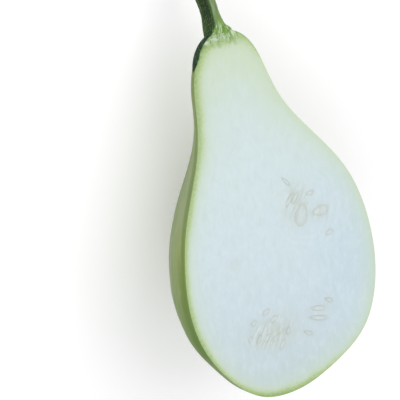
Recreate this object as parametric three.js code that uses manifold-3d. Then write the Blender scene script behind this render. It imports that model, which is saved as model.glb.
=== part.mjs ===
// Bottle gourd, pear-shaped, one lengthwise half with its stem.
//
// Millimetres, +Z up. The half lies on its rounded back with the cut face up,
// and the stem points towards +Y. The neck end leans 12 degrees down from
// level, as it does when such a half lies on a table.
//
// Nodes
//   gourd_half     rind and flesh, grown as one piece, with the flat cut face
//   stem           stalk with its flared foot and the lobes that grip the shoulder
//   seed_01 ... 20 soft young seeds that the cut laid open, flush with the face
import * as THREE from 'three';
import { mergeVertices } from 'three/addons/utils/BufferGeometryUtils.js';
import Module from 'manifold-3d';

// ---------------------------------------------------------------- dimensions
// Everything is first built in the gourd's own frame: the cut plane is z = 0,
// the blossom end is at y = 0 and the shoulder under the stem at y = 202.

const GAP = 0.3;               // clearance between neighbouring pieces
const REST_PITCH_DEG = -12;    // neck-down tilt of the half as it lies
const FLAT_DEPTH = 1.6;        // thickness taken off the back at the resting spot

// Outline of the cut face, [x, y], a closed loop from the blossom end up the
// left side, over the shoulder and down the right side. Knot i and knot
// 32 - i lie at the same height, so each pair spans one cross-section.
const OUTLINE = [
  [-3.9, 0.0], [-17.6, 1.9], [-28.6, 7.7], [-38.6, 17.1], [-48.0, 29.6], [-55.0, 45.0],
  [-58.1, 62.5], [-57.6, 81.4], [-54.2, 101.2], [-47.6, 120.9], [-41.0, 139.9], [-38.1, 157.4],
  [-37.4, 172.7], [-35.0, 185.3], [-30.0, 194.7], [-22.8, 200.4], [-14.9, 202.4], [-7.0, 200.4],
  [-0.1, 194.7], [5.3, 185.3], [10.2, 172.7], [18.0, 157.4], [32.4, 139.9], [48.4, 120.9],
  [58.8, 101.2], [63.8, 81.4], [65.1, 62.5], [62.8, 45.0], [56.7, 29.6], [45.2, 17.1],
  [27.8, 7.7], [11.5, 1.9],
];
// Depth behind the cut plane as a share of the half-width, at equal steps
// along the section parameter from the blossom end to the shoulder.
const DEPTH_SHARE = [0.84, 0.92, 1.04, 1.06, 0.90, 0.79, 0.72, 0.68];
const BODY_AROUND = 48;        // facets round the whole fruit
const BODY_ALONG = 36;         // facets from end to end

// Stalk: centre line [x, y, z] from the root inside the shoulder to the cut
// tip, and its radius at the same stations.
const STEM_LINE = [
  [-15.8, 191.0, -1.8], [-15.9, 194.6, -3.0], [-16.6, 198.7, -4.0], [-17.8, 202.6, -4.8],
  [-18.6, 208.0, -5.4], [-18.9, 213.3, -6.3], [-19.6, 218.6, -7.2], [-21.4, 226.0, -8.2],
  [-23.8, 233.0, -9.0],
];
const STEM_RADIUS = [3.6, 5.4, 6.0, 5.3, 4.85, 4.65, 4.75, 5.0, 5.4];
// Extra spread of the foot towards the right shoulder at the same stations.
const FOOT_SPREAD = [0.6, 1.8, 2.4, 1.5, 0.3, 0, 0, 0, 0];
const FOOT_DIRECTION_DEG = 15; // from +X towards +Z
const STEM_RIBS = 5;
const STEM_RIB_HEIGHT = 0.085; // share of the radius
const STEM_AROUND = 30;
const STEM_ALONG = 22;

// Lobes of the stem's foot on the shoulder: direction round the fruit in
// degrees (180 is the left rim of the cut, 270 straight behind), the section
// parameter where the lobe starts and ends, half-width and thickness.
const LOBES = [
  { at: 187, from: 0.965, to: 0.800, half: 5.2, thick: 2.4 },
  { at: 236, from: 0.970, to: 0.850, half: 4.2, thick: 2.1 },
  { at: 278, from: 0.970, to: 0.835, half: 4.4, thick: 2.1 },
  { at: 308, from: 0.965, to: 0.885, half: 3.4, thick: 1.6 },
];

// Thin collar that joins the lobes round the stalk: centre, radius, thickness.
const COLLAR_CENTRE = [-21.0, 198.0, -6.5];
const COLLAR_RADIUS = 9.4;
const COLLAR_THICK = 1.5;

// Seeds in the cut face: name, centre x, centre y, length, width, direction of
// the pointed end in degrees from +X, depth below the face.
const SEEDS = [
  ['seed_01', 18.9, 96.0, 12.9, 8.2, 73, 2.6],
  ['seed_02', 31.6, 95.2, 10.6, 5.4, 182, 2.4],
  ['seed_03', 12.3, 105.3, 8.1, 2.3, 52, 2.8],
  ['seed_04', 16.2, 105.9, 8.0, 2.3, 54, 2.8],
  ['seed_05', 26.0, 106.3, 4.8, 2.3, 187, 1.8],
  ['seed_06', 11.5, 115.9, 6.4, 1.8, 131, 2.0],
  ['seed_07', 35.8, 82.0, 5.4, 2.7, 191, 2.0],
  ['seed_08', 22.2, 41.9, 9.5, 2.8, 167, 2.6],
  ['seed_09', 21.6, 36.6, 11.6, 2.6, 164, 2.8],
  ['seed_10', 30.3, 44.6, 5.5, 1.9, 151, 1.8],
  ['seed_11', 14.0, 29.9, 5.8, 1.9, 151, 1.8],
  ['seed_12', -20.1, 44.6, 4.2, 2.4, 31, 1.8],
  ['seed_13', -11.4, 48.6, 5.1, 2.4, 25, 2.0],
  ['seed_14', -7.2, 43.6, 5.7, 2.4, 27, 2.0],
  ['seed_15', -18.0, 35.0, 5.5, 2.0, 53, 2.2],
  ['seed_16', -12.8, 34.1, 5.7, 2.1, 50, 2.2],
  ['seed_17', -7.0, 32.9, 5.8, 2.2, 31, 2.2],
  ['seed_18', -3.7, 28.2, 6.2, 2.2, 54, 2.2],
  ['seed_19', 1.2, 34.7, 4.5, 1.9, 64, 1.8],
  ['seed_20', -23.4, 36.4, 3.8, 1.8, 51, 1.8],
];
const SEED_AROUND = 12;
const SEED_ALONG = 8;

// ---------------------------------------------------------------- helpers
const wasm = await Module();
wasm.setup();

// A closed three.js geometry as a solid that can be cut and joined.
function toSolid(geometry) {
  const g = geometry.clone();
  g.deleteAttribute('normal');
  g.deleteAttribute('uv');
  const m = mergeVertices(g, 1e-4);
  const tri = [];
  for (let i = 0; i < m.index.count; i += 3) {
    const [a, b, c] = [m.index.getX(i), m.index.getX(i + 1), m.index.getX(i + 2)];
    if (a !== b && b !== c && c !== a) tri.push(a, b, c);
  }
  return new wasm.Manifold(new wasm.Mesh({
    numProp: 3,
    vertProperties: new Float32Array(m.attributes.position.array),
    triVerts: new Uint32Array(tri),
  }));
}

function toGeometry(solid) {
  const mesh = solid.getMesh();
  const g = new THREE.BufferGeometry();
  const pos = new Float32Array(mesh.numVert * 3);
  for (let i = 0; i < mesh.numVert; i++) {
    for (let k = 0; k < 3; k++) pos[3 * i + k] = mesh.vertProperties[i * mesh.numProp + k];
  }
  g.setAttribute('position', new THREE.BufferAttribute(pos, 3));
  g.setIndex(new THREE.BufferAttribute(new Uint32Array(mesh.triVerts), 1));
  g.computeVertexNormals();
  return g;
}

function boxSolid(x0, x1, y0, y1, z0, z1) {
  const g = new THREE.BoxGeometry(x1 - x0, y1 - y0, z1 - z0);
  g.translate((x0 + x1) / 2, (y0 + y1) / 2, (z0 + z1) / 2);
  return toSolid(g);
}

// Everything in front of the cut plane.
const aboveCut = boxSolid(-150, 150, -60, 320, 0, 150);

// ---------------------------------------------------------------- fruit
const outlineCurve = new THREE.CatmullRomCurve3(
  OUTLINE.map(([x, y]) => new THREE.Vector3(x, y, 0)), true, 'catmullrom', 0.5);
const depthCurve = new THREE.SplineCurve(
  DEPTH_SHARE.map((d, i) => new THREE.Vector2(i / (DEPTH_SHARE.length - 1), d)));

// One cross-section of the fruit: s runs from 0 at the blossom end to 1 at the
// shoulder; the section is an ellipse from the left rim to the right rim.
function section(s) {
  const t = Math.min(Math.max(s, 0), 1);
  const left = outlineCurve.getPoint(t / 2);
  const right = outlineCurve.getPoint((1 - t / 2) % 1);
  const centre = left.clone().add(right).multiplyScalar(0.5);
  const half = right.clone().sub(left).multiplyScalar(0.5);
  return { centre, half, depth: half.length() * depthCurve.getPoint(t).y };
}

// A point on the rind; angle 0 is the right rim, 180 the left, 270 the back.
function onFruit(s, angle, grow = 0) {
  const { centre, half, depth } = section(s);
  const p = centre.clone().addScaledVector(half, Math.cos(angle));
  p.z += depth * Math.sin(angle);
  if (grow) p.addScaledVector(fruitNormal(s, angle), grow);
  return p;
}

function fruitNormal(s, angle) {
  const e = 1e-3;
  const s0 = Math.min(Math.max(s, 0.004), 0.996);
  const du = onFruit(s0 + e, angle).sub(onFruit(s0 - e, angle));
  const dv = onFruit(s0, angle + e).sub(onFruit(s0, angle - e));
  const n = du.cross(dv).normalize();
  const out = onFruit(s0, angle).sub(section(s0).centre);
  return n.dot(out) < 0 ? n.negate() : n;
}

// The whole fruit: a lathe-turned spindle whose rings are moved onto the
// fruit's own cross-sections.
function fruitSolid(grow) {
  const profile = [];
  for (let i = 0; i <= BODY_ALONG; i++) {
    const s = i / BODY_ALONG;
    profile.push(new THREE.Vector2(i === 0 || i === BODY_ALONG ? 0 : Math.sin(Math.PI * s), s));
  }
  const g = new THREE.LatheGeometry(profile, BODY_AROUND);
  const pos = g.attributes.position;
  for (let i = 0; i < pos.count; i++) {
    const x = pos.getX(i), s = pos.getY(i), z = pos.getZ(i);
    const pole = Math.hypot(x, z) < 1e-6;
    const a = pole ? 0 : Math.atan2(z, x);
    let p;
    if (pole) {
      p = section(s).centre.clone();
      p.y += (s < 0.5 ? -grow : grow);
    } else {
      p = onFruit(s, a, grow);
    }
    pos.setXYZ(i, p.x, p.y, p.z);
  }
  return toSolid(g);
}

// ---------------------------------------------------------------- stem
const stemCurve = new THREE.CatmullRomCurve3(STEM_LINE.map((p) => new THREE.Vector3(...p)));
const stemRadiusCurve = new THREE.SplineCurve(
  STEM_RADIUS.map((r, i) => new THREE.Vector2(i, r)));
const footSpreadCurve = new THREE.SplineCurve(
  FOOT_SPREAD.map((r, i) => new THREE.Vector2(i, r)));

// Stalk with five ribs, made from a cylinder bent along the centre line.
function stalkSolid(grow) {
  const g = new THREE.CylinderGeometry(1, 1, 1, STEM_AROUND, STEM_ALONG, false);
  const pos = g.attributes.position;
  for (let i = 0; i < pos.count; i++) {
    const x = pos.getX(i), y = pos.getY(i), z = pos.getZ(i);
    const u = y + 0.5;
    const c = stemCurve.getPoint(u);
    const t = stemCurve.getTangent(u);
    const side = new THREE.Vector3(1, 0, 0).addScaledVector(t, -t.x).normalize();
    const front = new THREE.Vector3().crossVectors(side, t).normalize();
    const a = Math.atan2(z, x);
    const ribs = 1 + STEM_RIB_HEIGHT * Math.min(1, Math.max(0, (u - 0.15) / 0.25)) * Math.cos(STEM_RIBS * (a + 0.35));
    const share = Math.hypot(x, z);
    const toFoot = Math.max(0, Math.cos(a - THREE.MathUtils.degToRad(FOOT_DIRECTION_DEG)));
    const spread = Math.max(0, footSpreadCurve.getPoint(u).y) * toFoot * toFoot;
    const r = share * (stemRadiusCurve.getPoint(u).y * ribs + spread + grow);
    const p = c.clone().addScaledVector(side, r * Math.cos(a)).addScaledVector(front, r * Math.sin(a));
    if (u < 1e-6) p.addScaledVector(t, -grow);
    pos.setXYZ(i, p.x, p.y, p.z);
  }
  return toSolid(g);
}

// One lobe of the foot: a flattened drop laid along the rind.
function lobeSolid({ at, from, to, half, thick }) {
  const g = new THREE.SphereGeometry(1, 16, 10);
  const pos = g.attributes.position;
  for (let i = 0; i < pos.count; i++) {
    const x = pos.getX(i), y = pos.getY(i), z = pos.getZ(i);
    const u = (1 - y) / 2;
    const s = from + (to - from) * u;
    const taper = 1 - 0.35 * u;
    const size = section(s).half.length();
    const a = THREE.MathUtils.degToRad(at) - (x * half * taper) / size;
    const p = onFruit(s, a);
    p.addScaledVector(fruitNormal(s, a), z * thick * taper);
    pos.setXYZ(i, p.x, p.y, p.z);
  }
  return toSolid(g);
}

// The collar: the part of a thin coat on the shoulder that lies near the stalk.
function collarSolid() {
  const g = new THREE.SphereGeometry(COLLAR_RADIUS, 24, 14);
  g.translate(...COLLAR_CENTRE);
  return toSolid(g).intersect(fruitSolid(COLLAR_THICK));
}

// ---------------------------------------------------------------- seeds
// A flattened drop, blunt at one end, half below the cut face.
function seedSolid([, x, y, length, width, dir, depth], grow) {
  const g = new THREE.SphereGeometry(1, SEED_AROUND, SEED_ALONG);
  g.rotateZ(-Math.PI / 2);
  const pos = g.attributes.position;
  for (let i = 0; i < pos.count; i++) {
    const px = pos.getX(i), py = pos.getY(i), pz = pos.getZ(i);
    const narrow = 1 - 0.28 * px;
    pos.setXYZ(i,
      px * (length / 2 + grow),
      py * (width / 2 * narrow + grow),
      pz * (depth * narrow + grow));
  }
  g.rotateZ(THREE.MathUtils.degToRad(dir));
  g.translate(x, y, 0);
  return toSolid(g);
}

// ---------------------------------------------------------------- pieces
let stemSolid = collarSolid();
for (const lobe of LOBES) stemSolid = stemSolid.add(lobeSolid(lobe));
// The foot sits on the rind, and the root of the stalk goes on into the shoulder.
stemSolid = stemSolid.subtract(fruitSolid(GAP)).add(stalkSolid(0)).subtract(aboveCut);

let gourdSolid = fruitSolid(0).subtract(stalkSolid(GAP)).subtract(aboveCut);
for (const seed of SEEDS) gourdSolid = gourdSolid.subtract(seedSolid(seed, GAP));

// Lay the half down, then take the resting spot off its back.
const pitch = new THREE.Matrix4().makeRotationX(THREE.MathUtils.degToRad(REST_PITCH_DEG));
const pieces = [
  ['gourd_half', toGeometry(gourdSolid)],
  ['stem', toGeometry(stemSolid)],
  ...SEEDS.map((seed) => [seed[0], toGeometry(seedSolid(seed, 0).subtract(aboveCut))]),
];
for (const [, g] of pieces) g.applyMatrix4(pitch);
pieces[0][1].computeBoundingBox();
const low = pieces[0][1].boundingBox.min.z + FLAT_DEPTH;
pieces[0][1] = toGeometry(toSolid(pieces[0][1]).subtract(boxSolid(-150, 150, -100, 400, low - 60, low)));

// Stand the resting spot on z = 0 with the whole object centred over the origin.
const box = new THREE.Box3();
for (const [, g] of pieces) {
  g.computeBoundingBox();
  box.union(g.boundingBox);
}
const shift = new THREE.Vector3(
  -(box.min.x + box.max.x) / 2, -(box.min.y + box.max.y) / 2, -box.min.z);

// ---------------------------------------------------------------- scene graph
const flesh = { color: 0xd3e2e0, roughness: 0.42, metalness: 0 };
const stalk = { color: 0x3f6136, roughness: 0.62, metalness: 0 };
const seedCoat = { color: 0xcdd6cf, roughness: 0.4, metalness: 0 };

const group = new THREE.Group();
for (const [name, g] of pieces) {
  const look = name === 'gourd_half' ? flesh : name === 'stem' ? stalk : seedCoat;
  const mesh = new THREE.Mesh(g, new THREE.MeshStandardMaterial(look));
  mesh.name = name;
  mesh.position.copy(shift);
  group.add(mesh);
}

export default group;
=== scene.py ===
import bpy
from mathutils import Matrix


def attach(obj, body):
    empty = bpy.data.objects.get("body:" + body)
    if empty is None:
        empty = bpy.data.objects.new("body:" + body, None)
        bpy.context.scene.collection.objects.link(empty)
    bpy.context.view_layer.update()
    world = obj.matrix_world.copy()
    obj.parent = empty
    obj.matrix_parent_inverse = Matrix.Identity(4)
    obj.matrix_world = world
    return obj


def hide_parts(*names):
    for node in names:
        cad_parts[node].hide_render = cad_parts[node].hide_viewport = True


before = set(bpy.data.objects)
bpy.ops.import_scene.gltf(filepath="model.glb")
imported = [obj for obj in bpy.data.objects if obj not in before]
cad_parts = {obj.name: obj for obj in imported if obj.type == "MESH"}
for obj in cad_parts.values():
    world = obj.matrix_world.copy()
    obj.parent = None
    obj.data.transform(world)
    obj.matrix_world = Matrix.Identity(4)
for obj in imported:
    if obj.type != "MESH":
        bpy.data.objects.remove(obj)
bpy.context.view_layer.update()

import math

import bmesh
import bpy
import numpy as np
from mathutils import Matrix, Vector
from mathutils.geometry import delaunay_2d_cdt
from mathutils.kdtree import KDTree

# ------------------------------------------------------------------ numbers
# The gourd's own frame, in millimetres, as in the CAD source: cut plane z = 0,
# blossom end y = 0, shoulder y = 202. to_row() lays it down in the row frame.
OUTLINE = np.array([
    [-3.9, 0.0], [-17.6, 1.9], [-28.6, 7.7], [-38.6, 17.1], [-48.0, 29.6], [-55.0, 45.0],
    [-58.1, 62.5], [-57.6, 81.4], [-54.2, 101.2], [-47.6, 120.9], [-41.0, 139.9], [-38.1, 157.4],
    [-37.4, 172.7], [-35.0, 185.3], [-30.0, 194.7], [-22.8, 200.4], [-14.9, 202.4], [-7.0, 200.4],
    [-0.1, 194.7], [5.3, 185.3], [10.2, 172.7], [18.0, 157.4], [32.4, 139.9], [48.4, 120.9],
    [58.8, 101.2], [63.8, 81.4], [65.1, 62.5], [62.8, 45.0], [56.7, 29.6], [45.2, 17.1],
    [27.8, 7.7], [11.5, 1.9]])
DEPTH_SHARE = np.array([0.84, 0.92, 1.04, 1.06, 0.90, 0.79, 0.72, 0.68])
PITCH = math.radians(-12)
SHIFT = np.array([-3.4188, -113.8639, 77.9257])

STEM_LINE = np.array([
    [-15.8, 191.0, -1.8], [-15.9, 194.6, -3.0], [-16.6, 198.7, -4.0], [-17.8, 202.6, -4.8],
    [-18.6, 208.0, -5.4], [-18.9, 213.3, -6.3], [-19.6, 218.6, -7.2], [-21.4, 226.0, -8.2],
    [-23.8, 233.0, -9.0]])
STEM_RADIUS = np.array([3.6, 5.4, 6.0, 5.3, 4.85, 4.65, 4.75, 5.0, 5.4])
FOOT_SPREAD = np.array([0.6, 1.8, 2.4, 1.5, 0.3, 0, 0, 0, 0])
LOBES = [(187, 0.965, 0.800, 5.2, 2.4), (236, 0.970, 0.850, 4.2, 2.1),
         (278, 0.970, 0.835, 4.4, 2.1), (308, 0.965, 0.885, 3.4, 1.6)]

SEEDS = [
    ("seed_01", 18.9, 96.0, 12.9, 8.2, 73, 2.6), ("seed_02", 31.6, 95.2, 10.6, 5.4, 182, 2.4),
    ("seed_03", 12.3, 105.3, 8.1, 2.3, 52, 2.8), ("seed_04", 16.2, 105.9, 8.0, 2.3, 54, 2.8),
    ("seed_05", 26.0, 106.3, 4.8, 2.3, 187, 1.8), ("seed_06", 11.5, 115.9, 6.4, 1.8, 131, 2.0),
    ("seed_07", 35.8, 82.0, 5.4, 2.7, 191, 2.0), ("seed_08", 22.2, 41.9, 9.5, 2.8, 167, 2.6),
    ("seed_09", 21.6, 36.6, 11.6, 2.6, 164, 2.8), ("seed_10", 30.3, 44.6, 5.5, 1.9, 151, 1.8),
    ("seed_11", 14.0, 29.9, 5.8, 1.9, 151, 1.8), ("seed_12", -20.1, 44.6, 4.2, 2.4, 31, 1.8),
    ("seed_13", -11.4, 48.6, 5.1, 2.4, 25, 2.0), ("seed_14", -7.2, 43.6, 5.7, 2.4, 27, 2.0),
    ("seed_15", -18.0, 35.0, 5.5, 2.0, 53, 2.2), ("seed_16", -12.8, 34.1, 5.7, 2.1, 50, 2.2),
    ("seed_17", -7.0, 32.9, 5.8, 2.2, 31, 2.2), ("seed_18", -3.7, 28.2, 6.2, 2.2, 54, 2.2),
    ("seed_19", 1.2, 34.7, 4.5, 1.9, 64, 1.8), ("seed_20", -23.4, 36.4, 3.8, 1.8, 51, 1.8)]


# ------------------------------------------------------------------ maths
def to_row(p):
    """Gourd frame in mm to row frame in metres."""
    p = np.asarray(p, float)
    c, s = math.cos(PITCH), math.sin(PITCH)
    q = np.stack([p[..., 0], p[..., 1] * c - p[..., 2] * s, p[..., 1] * s + p[..., 2] * c], -1)
    return (q + SHIFT) * 0.001


def smooth(a, b, x):
    t = np.clip((np.asarray(x, float) - a) / (b - a), 0, 1)
    return t * t * (3 - 2 * t)


def soft_max(a, b, k):
    h = np.maximum(k - np.abs(a - b), 0) / k
    return np.maximum(a, b) + h * h * k / 4


def soft_min(a, b, k):
    return -soft_max(-a, -b, k)


def closed_spline(knots):
    """Periodic cubic spline through the knots, as a function of t in turns."""
    n = len(knots)
    m = np.zeros((n, n))
    for i in range(n):
        m[i, i] = 4
        m[i, (i - 1) % n] += 1
        m[i, (i + 1) % n] += 1
    rhs = 6 * (np.roll(knots, 1, 0) - 2 * knots + np.roll(knots, -1, 0))
    d2 = np.linalg.solve(m, rhs)

    def at(t):
        p = (np.asarray(t, float) % 1.0) * n
        i = np.floor(p).astype(int) % n
        w = (p - np.floor(p))[..., None]
        j = (i + 1) % n
        return ((1 - w) * knots[i] + w * knots[j]
                + ((1 - w) ** 3 - (1 - w)) * d2[i] / 6 + (w ** 3 - w) * d2[j] / 6)
    return at


def open_spline(values):
    """Natural cubic spline through equally spaced values, for t from 0 to 1."""
    v = np.asarray(values, float)
    flat = v.ndim == 1
    v = v[:, None] if flat else v
    n = len(v)
    m = np.zeros((n, n))
    rhs = np.zeros_like(v)
    m[0, 0] = m[-1, -1] = 1
    for i in range(1, n - 1):
        m[i, i - 1:i + 2] = (1, 4, 1)
        rhs[i] = 6 * (v[i - 1] - 2 * v[i] + v[i + 1])
    d2 = np.linalg.solve(m, rhs)

    def at(t):
        p = np.clip(np.asarray(t, float), 0, 1) * (n - 1)
        i = np.clip(np.floor(p).astype(int), 0, n - 2)
        w = (p - i)[..., None]
        out = ((1 - w) * v[i] + w * v[i + 1]
               + ((1 - w) ** 3 - (1 - w)) * d2[i] / 6 + (w ** 3 - w) * d2[i + 1] / 6)
        return out[..., 0] if flat else out
    return at


def hashed(i, j, k, seed):
    h = (i * 374761393 + j * 668265263 + k * 2147483647 + seed * 974634777) & 0xFFFFFFFF
    h = ((h ^ (h >> 13)) * 1274126177) & 0xFFFFFFFF
    h = ((h ^ (h >> 16)) * 2246822519) & 0xFFFFFFFF
    return ((h ^ (h >> 15)) & 0xFFFFFF) / float(0xFFFFFF)


def noise(p, seed=0):
    """Smooth value noise in 3-D, -1 to 1, lattice step 1."""
    p = np.asarray(p, float)
    i = np.floor(p).astype(np.int64)
    f = p - i
    f = f * f * f * (f * (f * 6 - 15) + 10)
    out = 0
    for dx in (0, 1):
        for dy in (0, 1):
            for dz in (0, 1):
                w = ((f[..., 0] if dx else 1 - f[..., 0]) * (f[..., 1] if dy else 1 - f[..., 1])
                     * (f[..., 2] if dz else 1 - f[..., 2]))
                out = out + w * hashed(i[..., 0] + dx, i[..., 1] + dy, i[..., 2] + dz, seed)
    return out * 2 - 1


def srgb(r, g, b, k=1.0):
    """8-bit display colour to linear, with alpha 1."""
    def lin(c):
        c = c / 255
        return c / 12.92 if c <= 0.04045 else ((c + 0.055) / 1.055) ** 2.4
    return (lin(r) * k, lin(g) * k, lin(b) * k, 1.0)


outline_at = closed_spline(OUTLINE)
depth_share_at = open_spline(DEPTH_SHARE)


def section(s):
    s = np.clip(np.asarray(s, float), 0, 1)
    left = outline_at(s / 2)
    right = outline_at(1 - s / 2)
    centre, half = (left + right) / 2, (right - left) / 2
    size = np.linalg.norm(half, axis=-1)
    return centre, half, size, size * depth_share_at(s)


def on_fruit(s, a):
    centre, half, size, depth = section(s)
    ca, sa = np.cos(a), np.sin(a)
    return np.stack([centre[..., 0] + half[..., 0] * ca, centre[..., 1] + half[..., 1] * ca,
                     depth * sa], -1)


def fruit_normal(s, a):
    e = 1e-3
    s0 = np.clip(s, 0.004, 0.996)
    du = on_fruit(s0 + e, a) - on_fruit(s0 - e, a)
    dv = on_fruit(s0, a + e) - on_fruit(s0, a - e)
    n = np.cross(du, dv)
    n /= np.linalg.norm(n, axis=-1, keepdims=True) + 1e-12
    centre = section(s0)[0]
    out = on_fruit(s0, a) - np.concatenate([centre, np.zeros(centre.shape[:-1] + (1,))], -1)
    return np.where((n * out).sum(-1, keepdims=True) < 0, -n, n)


RIM_T = np.linspace(0, 1, 1601)[:-1]
RIM_PTS = outline_at(RIM_T)


_rim_tree = KDTree(len(RIM_PTS))
for _i, _p in enumerate(RIM_PTS):
    _rim_tree.insert((_p[0], _p[1], 0.0), _i)
_rim_tree.balance()


def rim_distance(xy):
    """Distance to the cut outline, and where on it (turns) the nearest point is."""
    xy = np.asarray(xy, float).reshape(-1, 2)
    j = np.array([_rim_tree.find((v[0], v[1], 0.0))[1] for v in xy.tolist()], dtype=int)
    n = len(RIM_PTS)
    best = np.full(len(xy), 1e9)
    for k in (-1, 0):
        p0, p1 = RIM_PTS[(j + k) % n], RIM_PTS[(j + k + 1) % n]
        g = p1 - p0
        w = np.clip(((xy - p0) * g).sum(1) / (g * g).sum(1), 0, 1)[:, None]
        best = np.minimum(best, np.linalg.norm(xy - p0 - g * w, axis=1))
    return best, RIM_T[j]


def inside_outline(pts):
    """Points inside the cut outline, by ray crossings."""
    poly = RIM_PTS[::2]
    x, y = pts[:, 0][:, None], pts[:, 1][:, None]
    x0, y0 = poly[:, 0], poly[:, 1]
    x1, y1 = np.roll(x0, -1), np.roll(y0, -1)
    res = np.zeros(len(pts), dtype=bool)
    for i in range(0, len(pts), 4000):
        yy, xx = y[i:i + 4000], x[i:i + 4000]
        cross = ((y0 > yy) != (y1 > yy)) & (xx < (x1 - x0) * (yy - y0) / (y1 - y0 + 1e-12) + x0)
        res[i:i + 4000] = (cross.sum(1) % 2) == 1
    return res


def seed_local(seed, xy, grow=0.0):
    """Position in a seed's own outline: 1 on its edge."""
    _, x, y, length, width, ang, _ = seed
    a = math.radians(ang)
    d = np.asarray(xy, float) - (x, y)
    u = d[..., 0] * math.cos(a) + d[..., 1] * math.sin(a)
    v = -d[..., 0] * math.sin(a) + d[..., 1] * math.cos(a)
    px = u / (length / 2 + grow)
    narrow = 1 - 0.28 * np.clip(px, -1, 1)
    py = v / (width / 2 * narrow + grow)
    return px, py, np.sqrt(px * px + py * py)


# ------------------------------------------------------------------ mesh help
def new_mesh(name, verts, faces, attributes=None, materials=(), slots=None):
    mesh = bpy.data.meshes.new(name)
    mesh.from_pydata([tuple(v) for v in verts], [], faces)
    for key, values in (attributes or {}).items():
        values = np.asarray(values, dtype=np.float32)
        if values.ndim == 1:
            mesh.attributes.new(key, "FLOAT", "POINT").data.foreach_set("value", values)
        else:
            mesh.attributes.new(key, "FLOAT_VECTOR", "POINT").data.foreach_set("vector", values.ravel())
    for m in materials:
        mesh.materials.append(m)
    if slots is not None:
        mesh.polygons.foreach_set("material_index", np.asarray(slots, dtype=np.int32))
    bm = bmesh.new()
    bm.from_mesh(mesh)
    bmesh.ops.recalc_face_normals(bm, faces=bm.faces)
    bm.to_mesh(mesh)
    bm.free()
    mesh.polygons.foreach_set("use_smooth", np.ones(len(mesh.polygons), dtype=bool))
    mesh.update()
    obj = bpy.data.objects.new(name, mesh)
    bpy.context.scene.collection.objects.link(obj)
    return obj


# ------------------------------------------------------------------ materials
class Nodes:
    """Small helper to write a node tree in a few lines."""

    def __init__(self, name):
        self.mat = bpy.data.materials.new(name)
        self.mat.use_nodes = True
        self.nt = self.mat.node_tree
        self.nt.nodes.clear()
        self.out = self.nt.nodes.new("ShaderNodeOutputMaterial")
        self.bsdf = self.nt.nodes.new("ShaderNodeBsdfPrincipled")
        self.nt.links.new(self.bsdf.outputs[0], self.out.inputs[0])

    def node(self, kind, **props):
        n = self.nt.nodes.new(kind)
        for k, v in props.items():
            setattr(n, k, v)
        return n

    def put(self, socket, value):
        if isinstance(value, bpy.types.NodeSocket):
            self.nt.links.new(value, socket)
        elif value is not None:
            socket.default_value = value

    def attr(self, name, vector=False):
        n = self.node("ShaderNodeAttribute", attribute_name=name)
        return n.outputs["Vector"] if vector else n.outputs["Fac"]

    def scaled(self, vector, by, offset=(0, 0, 0)):
        n = self.node("ShaderNodeMapping")
        self.put(n.inputs["Vector"], vector)
        n.inputs["Scale"].default_value = by
        n.inputs["Location"].default_value = offset
        return n.outputs[0]

    def noise(self, vector, scale=1.0, detail=3.0, rough=0.5, distortion=0.0):
        n = self.node("ShaderNodeTexNoise")
        self.put(n.inputs["Vector"], vector)
        n.inputs["Scale"].default_value = scale
        n.inputs["Detail"].default_value = detail
        n.inputs["Roughness"].default_value = rough
        n.inputs["Distortion"].default_value = distortion
        return n.outputs["Fac"]

    def voronoi(self, vector, scale=1.0, feature="F1", randomness=1.0):
        n = self.node("ShaderNodeTexVoronoi", feature=feature)
        self.put(n.inputs["Vector"], vector)
        n.inputs["Scale"].default_value = scale
        n.inputs["Randomness"].default_value = randomness
        return n.outputs["Distance"]

    def ramp(self, fac, stops, ease="LINEAR"):
        n = self.node("ShaderNodeValToRGB")
        n.color_ramp.interpolation = ease
        e = n.color_ramp.elements
        while len(e) > 1:
            e.remove(e[-1])
        e[0].position, e[0].color = stops[0]
        for pos, col in stops[1:]:
            new = e.new(pos)
            new.color = col
        self.put(n.inputs["Fac"], fac)
        return n.outputs["Color"]

    def span(self, value, a, b, c=0.0, d=1.0, ease="SMOOTHSTEP"):
        n = self.node("ShaderNodeMapRange", interpolation_type=ease)
        self.put(n.inputs["Value"], value)
        n.inputs["From Min"].default_value = a
        n.inputs["From Max"].default_value = b
        n.inputs["To Min"].default_value = c
        n.inputs["To Max"].default_value = d
        return n.outputs["Result"]

    def math(self, op, a, b=None, c=None, clamp=False):
        n = self.node("ShaderNodeMath", operation=op, use_clamp=clamp)
        for s, v in zip(n.inputs, (a, b, c)):
            self.put(s, v)
        return n.outputs[0]

    def mix(self, fac, a, b, blend="MIX"):
        n = self.node("ShaderNodeMix", data_type="RGBA", blend_type=blend)
        self.put(n.inputs["Factor"], fac)
        for key, v in (("A", a), ("B", b)):
            sock = [s for s in n.inputs if s.name == key and s.type == "RGBA"][0]
            self.put(sock, v)
        return [s for s in n.outputs if s.type == "RGBA"][0]

    def bump(self, height, strength, distance, normal=None):
        n = self.node("ShaderNodeBump")
        n.inputs["Strength"].default_value = strength
        n.inputs["Distance"].default_value = distance
        self.put(n.inputs["Height"], height)
        if normal is not None:
            self.put(n.inputs["Normal"], normal)
        return n.outputs["Normal"]

    def finish(self, **sockets):
        for k, v in sockets.items():
            self.put(self.bsdf.inputs[k.replace("_", " ")], v)
        return self.mat


FLESH_GAIN = 0.875


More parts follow.
